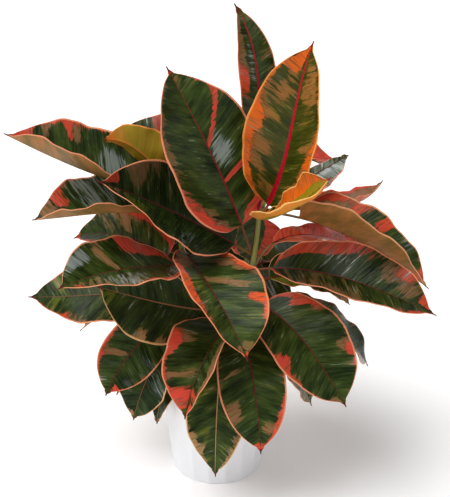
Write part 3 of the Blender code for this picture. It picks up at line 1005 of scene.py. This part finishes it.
        # The painted sheen marks, the painted shade and the painted bluish veil
        store(leaf, "leaf_cast", np.column_stack([tones[:, 3], same * look.shade, same * look.painted_veil]))
        store(leaf, "leaf_rib", np.column_stack([same * look.rib_red, same * look.rib_pale, same * 0.0]))


STEMS = {
    "right": Stem("right", (0.020, -0.010), (0.0515, 0.000, 0.358), (0.20, -0.95)),
    "left": Stem("left", (-0.026, 0.000), (-0.050, 0.012, 0.392), (-0.15, 0.10)),
    "back": Stem("back", (0.006, 0.034), (0.066, 0.070, 0.398), (0.50, 0.20)),
}

# In each look, the sheen rows paint grey streaks that stand in for highlights, and the veil amount paints a
# bluish reflection over the green
LEAVES = {
    "leaf_01": Leaf("back", 0.385, (0.021, 0.06, 0.6), 0.052, 0.02, 80, 58, 0, (0.15, -1, 0.2), 22,
        cup=20, left=1.15, look=Look(rib=0.0034, warm=0.5, rib_red=1, coral=((-1, 47, 9, 70, 40),
        (-1, 75, 20, 30, 85)), mottle=((-1, 70, 30, 55, 45), (1, 60, 30, 15, 30, 90)),
        silver=((-1, 60, 40, 50, 5, 30),))),
    "leaf_02": Leaf("right", 0.352, (0.113, 0, 0.568), 0.11, 0.0145, 61, 69, -22, (-0.6, -1, 0.1), 18,
        cup=26, widest=0.42, look=Look(rib=0.0044, warm=0.75, pale=0.25, rib_red=1, finish=YOUNG,
        coral=((-1, 13, 28, 72, 80), (-1, 43, 6.5, 90, 68), (-1, 70, 30, 55, 90), (-1, 88, 9, 110, 15, 75),
        (1, 20, 15, 60, 60), (1, 50, 50, 55, 93), (0, 98, 3, 50)), mottle=((-1, 20, 10, 35, 55, 80),
        (-1, 50, 5, 40, 20, 80), (-1, 63, 4, 40, 30, 90), (-1, 30, 5, 40, 30, 80), (-1, 72, 10, 50, 5, 50),
        (-1, 12, 12, 40, 0, 60), (1, 72, 18, 55, 10, 75), (1, 36, 3, 50, 30, 90), (1, 10, 10, 50, 30, 90)),
        gold=((-1, 55, 10, 35, 15, 70), (1, 25, 20, 30, 10, 70)))),
    "leaf_03": Leaf("right", 0.354, (0.131, -0.076, 0.427), 0.09, 0.01, 0, 50, -45, (0, -0.3, 1), 8,
        cup=56, left=0.6, widest=0.78, look=Look(rib=0.0016, warm=1, pale=0.9, finish=YOUNG,
        coral=((-1, 60, 50, 90, 42), (1, 90, 30, 50, 50), (0, 3, 6, 50, 20)), gold=((-1, 50, 50, 100, 0, 42),
        (1, 50, 50, 100, 0, 50)))),
    "leaf_04": Leaf("right", 0.304, (-0.06, 0.025, 0.532), 0.116, 0.034, 72, 57, 16, (0.75, -1, 0.35), 18,
        cup=12, left=1.54, right=1.08, widest=0.4, look=Look(rib=0.0019, warm=0.15, rib_red=0.35, pale=0.2,
        coral=((-1, 55, 40, 30, 95), (0, 98, 4, 70), (1, 60.5, 2, 100, 0, 100, 21),
        (1, 27.2, 2, 95, 0, 100, -3), (-1, 4, 13, 90, 74), (1, 2, 7, 80, 30), (1, 82, 16, 40, 94)),
        mottle=((1, 90, 5, 35, 0, 50), (-1, 84, 8, 30, 50), (-1, 3, 10, 50, 50, 90), (-1, 50, 35, 25, 78)),
        silver=((1, 42, 8.5, 95, 3, 38),))),
    "leaf_05": Leaf("back", 0.36, (-0.122, 0.1, 0.438), 0.09, 0.03, 35, 20, 0, (-0.1, -0.6, 1), 10,
        look=Look(warm=0.1, shade=0.3, coral=((0, 69, 4, 80, 30),), silver=((0, 78, 3, 30, 30),))),
    "leaf_06": Leaf("left", 0.382, (-0.137, 0.012, 0.445), 0.084, 0.014, 50, -5, -4, (0, 1, 0.2), 10,
        cup=6, left=0.86, right=0.26, widest=0.28, look=Look(rib=0.0014, warm=1, finish=YOUNG,
        coral=((-1, 90, 9, 90), (-1, 25, 6, 80, 75), (1, 80, 20, 60, 50)), gold=((0, 45, 60, 80),))),
    "leaf_07": Leaf("left", 0.374, (-0.2577, 0.015, 0.452), 0.1, 0.024, 10, 28, 0, (0, -0.5, 1), 46,
        twist=-32, right=1.12, look=Look(warm=0.2, coral=((1, 90, 11, 90), (1, 53, 2.2, 80, 50, 100, 6),
        (1, 45, 35, 60, 90), (-1, 60, 30, 25, 30)), mottle=((1, 70, 3, 60, 30, 90),
        (1, 47, 4, 60, 50, 100, 6)), silver=((1, 24, 10, 90, 5, 60),))),
    "leaf_08": Leaf("right", 0.3, (-0.138, -0.055, 0.415), 0.114, 0.022, 30, 28, -25, (0.15, -0.8, 1), 30,
        left=1.3, widest=0.4, look=Look(shade=0.5, coral=((1, 88, 7, 90, 25), (1, 42, 12, 30, 95)),
        mottle=((1, 70, 6, 45, 30), (1, 55, 15, 25, 10), (-1, 85, 10, 50, 0, 40)),
        gold=((-1, 72, 14, 60, 20),), silver=((1, 45, 5, 45, 20, 90), (1, 66, 3.5, 35, 50),
        (-1, 26, 12, 55, 35, 95)))),
    "leaf_09": Leaf("left", 0.345, (-0.223, -0.03, 0.357), 0.096, 0.024, 20, 0, 0, UP, 30,
        right=1.25, look=Look(warm=0.2, pale=0.4, coral=((1, 68, 8, 80, 30), (1, 50, 10, 45, 90)),
        mottle=((1, 82, 10, 60),), silver=((1, 42, 13, 80, 0, 95), (1, 20, 10, 40, 30),
        (-1, 55, 35, 50, 0, 70)))),
    "leaf_10": Leaf("left", 0.276, (-0.185, 0.05, 0.301), 0.092, 0.022, 30, -22, -15, (-0.1, -0.2, 1), 8,
        left=0.95, right=1.3, look=Look(warm=0.1, coral=((1, 14, 24, 115, 60), (0, 95, 6, 70, 20),
        (-1, 70, 20, 60, 70), (1, 62, 2, 30, 30)), mottle=((1, 50, 40, 30, 10, 90), (1, 43, 3, 70, 20)))),
    "leaf_11": Leaf("left", 0.283, (-0.181, -0.13, 0.311), 0.096, 0.012, 15, -5, 0, (0, -0.4, 1), 14,
        cup=14, left=1.25, look=Look(warm=0.15, pale=0.5, coral=((1, 20, 16, 95, 50, 84, -12),
        (1, 30, 30, 40, 95), (-1, 86, 12, 40, 20), (-1, 25, 20, 65, 80)), mottle=((1, 50, 3, 90, 0, 72),
        (-1, 70, 12, 40, 10, 80)), silver=((1, 70, 17, 85, 45, 95), (-1, 48, 20, 70, 20, 90)))),
    "leaf_12": Leaf("left", 0.232, (-0.249, 0.05, 0.218), 0.098, 0.03, 0, 8, -25, (0, -0.6, 1), 6,
        look=Look(warm=0.5, pale=0.35, rib_pale=0.15, coral=((-1, 66, 5, 40, 60), (-1, 88, 5, 40, 60),
        (0, 60, 50, 30, 95)), mottle=((-1, 50, 20, 25, 60),), gold=((0, 75, 25, 35),))),
    "leaf_13": Leaf("left", 0.212, (-0.189, 0.09, 0.148), 0.064, 0.03, 5, -45, -20, (0, 0.1, 1), 8,
        look=Look(warm=0.4, mottle=((0, 90, 20, 50),))),
    "leaf_14": Leaf("right", 0.224, (-0.146, -0.048, 0.277), 0.104, 0.05, 5, 22, 0, (0, -1.25, 0.85), 8,
        left=1.04, right=0.76, widest=0.44, look=Look(warm=0.4, pale=0.95, rib_pale=0.3, painted_veil=0.5,
        mottle=((-1, 97, 6, 80, 30), (-1, 36, 4.5, 95, 76), (-1, 15, 8, 50, 85)), gold=((-1, 86, 8, 80),),
        silver=((0, 40, 30, 22, 0, 90),))),
    "leaf_15": Leaf("left", 0.202, (-0.14, -0.06, 0.132), 0.074, 0.026, 25, -58, -12, (0, -1, 0.5), 8,
        look=Look(warm=0.05, coral=((1, 45, 40, 65, 88), (1, 55, 3, 35, 30, 90), (-1, 86, 7, 75, 20),
        (-1, 55, 25, 50, 94)), mottle=((1, 52, 4, 80, 10, 90),), silver=((1, 82, 8, 45, 30),
        (-1, 35, 15, 30, 10, 80)))),
    "leaf_16": Leaf("left", 0.198, (-0.134, 0.014, 0.091), 0.07, 0.03, 40, -65, -30, UP, 8,
        look=Look(coral=((0, 90, 10, 50),))),
    "leaf_17": Leaf("left", 0.184, (-0.107, -0.05, 0.091), 0.074, 0.03, 45, -75, 0, (0, -0.3, 1), 8,
        look=Look(pale=0.8, warm=0.4, rib_pale=0.2, painted_veil=0.3, mottle=((1, 90, 6, 80, 20),),
        silver=((-1, 45, 15, 40), (1, 70, 12, 30, 20)))),
    "leaf_18": Leaf("left", 0.18, (-0.077, -0.051, 0.086), 0.042, 0.02, 85, -88, 10, UP, 8,
        look=Look(pale=0.7, rib_pale=0.6, mottle=((0, 95, 5, 60, 30),))),
    "leaf_19": Leaf("right", 0.213, (-0.038, -0.135, 0.143), 0.098, 0.026, 20, -70, 0, (-0.7, -1, 0.3), 34,
        right=1.04, widest=0.36, look=Look(warm=0.2, coral=((1, 30, 8, 95, 70), (1, 55, 30, 60, 90),
        (1, 80, 10, 80), (-1, 76, 7, 50, 0, 70), (-1, 90, 7, 80, 30)), mottle=((1, 27, 4.5, 65, 40, 90),
        (1, 60, 3, 70, 10, 80), (-1, 40, 40, 90, 72)))),
    "leaf_20": Leaf("right", 0.188, (-0.002, -0.115, 0.049), 0.074, 0.026, 65, -88, -28, (-0.2, -0.3, 1), 8,
        left=1.08, right=1.08, look=Look(pale=1, warm=0.8, rib_pale=0.7, mottle=((1, 72, 14, 80, 78),
        (1, 75, 3.5, 70, 50, 90), (-1, 55, 12, 60, 70), (-1, 85, 12, 70, 80)),
        gold=((0, 60, 50, 25, 20, 90),))),
    "leaf_21": Leaf("right", 0.204, (0.053, -0.145, 0.101), 0.088, 0.03, 40, -80, -5, (0, -0.5, 1), 8,
        left=0.88, look=Look(warm=0.35, coral=((-1, 74, 18, 80, 78), (0, 94, 5, 55), (-1, 40, 30, 35, 94),
        (1, 45, 30, 40, 95)), mottle=((1, 60, 7, 75, 50), (1, 33, 1.8, 50, 10, 80),
        (-1, 80, 6, 50, 10, 70)))),
    "leaf_22": Leaf("left", 0.304, (0.036, -0.16, 0.234), 0.104, 0.014, 0, -50, -8, (0.6, -0.8, 1), 20,
        left=1.18, right=0.88, look=Look(warm=0.75, rib=0.0018, coral=((1, 34, 26, 90, 70),
        (-1, 20, 12, 60, 80), (-1, 50, 4, 80, 60, 100, 4), (-1, 65, 12, 60, 88), (0, 97, 4, 70, 30),
        (-1, 3, 6, 60, 70)), mottle=((1, 12, 12, 60, 10, 80), (-1, 16, 3.5, 60, 40, 75),
        (-1, 40, 3, 80, 5, 60, 12), (0, 90, 4, 70, 10, 70), (-1, 22, 10, 35, 70, 95)),
        gold=((-1, 70, 20, 35, 10, 90), (1, 50, 30, 30, 10, 80)), silver=((1, 0, 22, -160),))),
    "leaf_23": Leaf("right", 0.24, (0.157, -0.11, 0.145), 0.104, 0.02, 5, -50, 0, (0.1, -0.7, 1), 12,
        look=Look(coral=((-1, 55, 5, 60, 75), (-1, 6, 12, 75, 80), (-1, 12, 3, 50, 50), (1, 38, 6, 75, 62),
        (1, 50, 30, 60, 90), (-1, 60, 40, 40, 94)), mottle=((-1, 50, 5, 65, 62), (1, 90, 7, 60, 30)))),
    "leaf_24": Leaf("right", 0.21, (0.121, -0.04, 0.106), 0.08, 0.03, 40, -65, 0, UP, 8,
        left=1.75, look=Look(pale=0.7, mottle=((0, 80, 20, 35),), gold=((0, 80, 20, 50),))),
    "leaf_25": Leaf("right", 0.225, (0.196, 0, 0.142), 0.096, 0.05, 40, -60, 12, UP, 8,
        left=0.9, widest=0.66, look=Look(pale=0.7, painted_veil=0.3, mottle=((1, 80, 20, 80, 50),))),
    "leaf_26": Leaf("right", 0.262, (0.172, 0.03, 0.216), 0.076, 0.024, 5, -55, 15, (0, -0.4, 1), 10,
        right=0.55, widest=0.3, look=Look(pale=0.8, mottle=((0, 90, 10, 80),), gold=((1, 15, 25, 110),))),
    "leaf_27": Leaf("right", 0.28, (0.265, -0.075, 0.251), 0.098, 0.02, 15, -20, 0, (0, -0.47, 1), 18,
        right=0.82, look=Look(warm=0.45, shade=0.3, coral=((-1, 16, 24, 95, 60), (-1, 68, 7, 55, 60),
        (-1, 90, 6, 95, 25), (1, 0, 8, 50, 30), (1, 85, 10, 60, 60)), mottle=((-1, 64, 14, 38, 30),
        (1, 30, 30, 32), (-1, 78, 4, 50, 10, 60)), silver=((-1, 30, 12, 42, 8, 60),
        (-1, 60, 5, 40, 10, 60)))),
    "leaf_28": Leaf("back", 0.332, (0.262, -0.03, 0.266), 0.08, 0.046, 5, -32, 0, UP, 48,
        left=1.2, right=1.7, widest=0.28, look=Look(warm=0.45, pale=0.6, coral=((-1, 6, 10, 80, 74),
        (-1, 25, 5, 75, 50), (-1, 45, 4.5, 75, 50), (-1, 92, 6, 80), (1, 86, 8, 70), (-1, 75, 10, 50, 90)),
        mottle=((-1, 8, 16, 110),), gold=((1, 60, 25, 30),), silver=((-1, 62, 10, 40, 20),))),
    "leaf_29": Leaf("right", 0.284, (0.217, 0.09, 0.25), 0.09, 0.036, 50, -38, 20, (0, -0.1, 1), 10,
        left=0.66, widest=0.74, look=Look(warm=0.4, coral=((-1, 35, 60, 95), (1, 50, 50, 80)),
        mottle=((-1, 30, 30, 30, 10),))),
    "leaf_30": Leaf("back", 0.334, (0.217, 0.105, 0.361), 0.052, 0.024, 0, 62, 0, UP, 34,
        right=1.1, look=Look(warm=0.1, coral=((1, 60, 50, 110), (-1, 70, 50, 70, 80)),
        mottle=((-1, 70, 60, 120),))),
    "leaf_31": Leaf("back", 0.358, (0.167, 0.07, 0.407), 0.056, 0.02, 12, 32, 0, (0, -0.8, 1), 12,
        left=0.35, look=Look(warm=0.1, coral=((1, 60, 30, 70, 88),), silver=((0, 60, 45, 80),))),
    "leaf_32": Leaf("back", 0.38, (0.158, 0.155, 0.374), 0.072, 0.02, 40, -5, 25, (0, -0.3, 1), 14,
        look=Look(warm=0.1, coral=((0, 75, 30, 90),))),
    "leaf_33": Leaf("back", 0.34, (0.042, 0.047, 0.27), 0.08, 0.02, 30, -80, 25, (0.35, -1, 0.2), 14,
        cup=8, left=0.83, widest=0.3, look=Look(warm=0.2, coral=((-1, 35, 60, 110, 42),
        (1, 30, 40, 60, 70)))),
    "leaf_34": Leaf("back", 0.34, (0.12, 0.22, 0.33), 0.088, 0.026, 40, -10, 0, UP, 10),
    "leaf_35": Leaf("back", 0.254, (0.205, 0.19, 0.215), 0.088, 0.028, 10, -25, 0, UP, 10),
    "leaf_36": Leaf("back", 0.24, (0.18, 0.14, 0.17), 0.09, 0.03, 35, -45, 0, UP, 10),
    "leaf_37": Leaf("back", 0.225, (0.1, 0.15, 0.212), 0.08, 0.03, 45, 10, 0, (0.3, -1, 0.6), 10),
    "leaf_38": Leaf("back", 0.19, (0.11, 0.14, 0.095), 0.086, 0.03, 40, -65, 0, UP, 10),
    "leaf_39": Leaf("left", 0.345, (-0.13, 0.19, 0.33), 0.088, 0.028, 40, -10, 0, UP, 12),
    "leaf_40": Leaf("left", 0.32, (-0.03, 0.2, 0.29), 0.09, 0.028, 30, -20, 0, UP, 10),
    "leaf_41": Leaf("left", 0.272, (-0.15, 0.165, 0.232), 0.09, 0.03, 35, -30, -15, UP, 10),
    "leaf_42": Leaf("left", 0.21, (-0.058, 0.104, 0.282), 0.086, 0.024, 25, 80, 0, (-0.2, -1, 0.3), 10),
    "leaf_43": Leaf("left", 0.146, (-0.016, 0.038, 0.232), 0.054, 0.014, 35, 80, 0, (0, -1, 0.3), 10),
    "leaf_44": Leaf("back", 0.196, (0.006, 0.135, 0.285), 0.08, 0.024, 30, 75, 0, (0, -1, 0.3), 10),
}


@dataclass(frozen=True)
class Soil:
    """The soil: a crumbly crowned top with loose crumbs on it."""

    height: float = 0.122
    crown: float = 0.004
    floor: float = 0.0053
    wall_gap: float = 0.0004
    top_gap: float = 0.0006
    rings: int = 34
    sides: int = 96
    rough_scale: float = 260.0
    rough_height: float = 0.0013
    grain_scale: float = 900.0
    grain_height: float = 0.0006
    flat_edge: int = 8
    crumbs: int = 420
    crumb_sizes: Pair = (0.0007, 0.0021)
    crumb_shapes: Pair = (0.7, 1.2)
    crumb_margin: float = 0.003
    crumb_lift: float = 0.25
    largest_spin: float = 6.0
    seed: int = 7

    def edge_radius(self, pot: Pot, height: float) -> float:
        """How far the soil reaches at a height inside the pot."""
        return pot.radius(height) - pot.wall - self.wall_gap

    def surface(self, x: float, y: float, reach: float) -> float:
        """Height of the soil's top over a point.

        Args:
            x: Point.
            y: Point.
            reach: The soil's radius at its top.

        Returns:
            The height.
        """
        share = min(math.hypot(x, y) / reach, 1.0)
        rough = noise.fractal(Vector((x * self.rough_scale, y * self.rough_scale, 0.0)), 1.0, 2.0, 3)
        grains = noise.noise(Vector((x * self.grain_scale, y * self.grain_scale, 5.0)))
        bumps = (self.rough_height * rough + self.grain_height * grains) * (1.0 - share ** self.flat_edge)
        return self.height - self.crown * share * share + bumps - self.top_gap

    def build(self, pot: Pot) -> None:
        """Make the body of soil and its crumbs, as one piece.

        Args:
            pot: The pot that holds it.
        """
        reach = self.edge_radius(pot, self.height - self.crown)
        foot = self.edge_radius(pot, self.floor)
        places = [(0.0, 0.0, self.surface(0.0, 0.0, reach))]
        for ring in range(1, self.rings + 1):
            for angle in circle(self.sides):
                out = reach * ring / self.rings
                x, y = out * math.cos(angle), out * math.sin(angle)
                places.append((x, y, self.surface(x, y, reach)))
        places += [(foot * math.cos(angle), foot * math.sin(angle), self.floor)
                   for angle in circle(self.sides)]
        faces = fan_faces(self.rings + 1, self.sides)
        faces.append(tuple(reversed(range(len(places) - self.sides, len(places)))))
        draw = random.Random(self.seed)
        for _ in range(self.crumbs):
            self.add_crumb(draw, reach, places, faces)
        hand_over(make_mesh("soil_top", np.array(places), faces), "soil", SOIL_FINISH.material())

    def add_crumb(self, draw: random.Random, reach: float, places: list, faces: list) -> None:
        """Set one crumb on the soil, half sunk in.

        Args:
            draw: The source of chance.
            reach: The soil's radius at its top.
            places: The piece's points, which grow.
            faces: The piece's faces, which grow.
        """
        angle = draw.uniform(0.0, math.tau)
        out = (reach - self.crumb_margin) * math.sqrt(draw.random())
        size = draw.uniform(*self.crumb_sizes)
        x, y = out * math.cos(angle), out * math.sin(angle)
        middle = Vector((x, y, self.surface(x, y, reach) + size * self.crumb_lift))
        spin = Euler([draw.uniform(0.0, self.largest_spin) for _ in range(3)])
        low = len(places)
        for sign in (1.0, -1.0):
            for axis in range(3):
                corner = Vector((0.0, 0.0, 0.0))
                corner[axis] = sign * size * draw.uniform(*self.crumb_shapes)
                corner.rotate(spin)
                places.append(tuple(middle + corner))
        for a, b in ((0, 1), (1, 3), (3, 4), (4, 0)):
            faces += [(low + a, low + b, low + 2), (low + b, low + a, low + 5)]


@dataclass(frozen=True)
class Studio:
    """Camera, floor and soft light, with sizes in metres and angles in degrees."""

    camera_place: Point = (0.010, -1.3233, 0.8556)
    camera_slope: float = 22.5
    camera_reach: float = 100.0
    lens: float = 83.3
    floor_size: float = 30.0
    sun_strength: float = 2.9
    sun_angle: float = 56.0
    sun_height: float = 66.0
    sun_heading: float = 20.0
    sky: Colour = (0.98, 0.99, 1.0)
    zenith_strength: float = 0.34
    wall_strength: float = 0.62
    wall_top: Pair = (0.20, 0.62)

    def build(self) -> None:
        """Set up the camera, floor, sun and sky."""
        scene = bpy.context.scene
        camera = bpy.data.cameras.new("camera")
        camera.lens = self.lens
        camera.clip_end = self.camera_reach
        view = bpy.data.objects.new("camera", camera)
        view.location = self.camera_place
        view.rotation_euler = (math.radians(90.0 - self.camera_slope), 0.0, 0.0)
        scene.collection.objects.link(view)
        scene.camera = view
        half = 0.5 * self.floor_size
        corners = np.array([(-half, -half, 0.0), (half, -half, 0.0), (half, half, 0.0), (-half, half, 0.0)])
        floor = make_mesh("studio_floor", corners, [(0, 1, 2, 3)])
        floor.data.materials.append(FLOOR_FINISH.material())
        sun = bpy.data.lights.new("sun", "SUN")
        sun.energy = self.sun_strength
        sun.angle = math.radians(self.sun_angle)
        lamp = bpy.data.objects.new("sun", sun)
        lamp.rotation_mode = "QUATERNION"
        height, heading = math.radians(self.sun_height), math.radians(self.sun_heading)
        flat = math.cos(height)
        travel = Vector((flat * math.cos(heading), flat * math.sin(heading), -math.sin(height)))
        lamp.rotation_quaternion = travel.to_track_quat("-Z", "Y")
        scene.collection.objects.link(lamp)
        sky = Graph(bpy.data.worlds.new("sky"), "Background")
        _, _, climb = sky.parts(sky.node("ShaderNodeTexCoord", {}, {}, "Generated"))
        strength = climb.rise(*self.wall_top, self.wall_strength, self.zenith_strength)
        sky.dress(Color=self.sky, Strength=strength)
        scene.world = sky.owner
        scene.view_settings.view_transform = "Standard"
        scene.view_settings.look = "None"


def main() -> None:
    """Load the frame, build every sub-assembly in order and set up the studio."""
    logging.basicConfig(level=logging.INFO, format="%(name)s: %(message)s")
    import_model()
    pot = Pot()
    pot.build()
    Soil().build(pot)
    for name, stem in STEMS.items():
        stem.build([leaf.height for leaf in LEAVES.values() if leaf.stem == name])
    skins = {finish: finish.material() for finish in (MATURE, YOUNG)}
    for number, (name, leaf) in enumerate(LEAVES.items(), start=1):
        leaf.build(name, number, STEMS[leaf.stem], skins[leaf.look.finish])
    Studio().build()


if __name__ == "__main__":
    main()
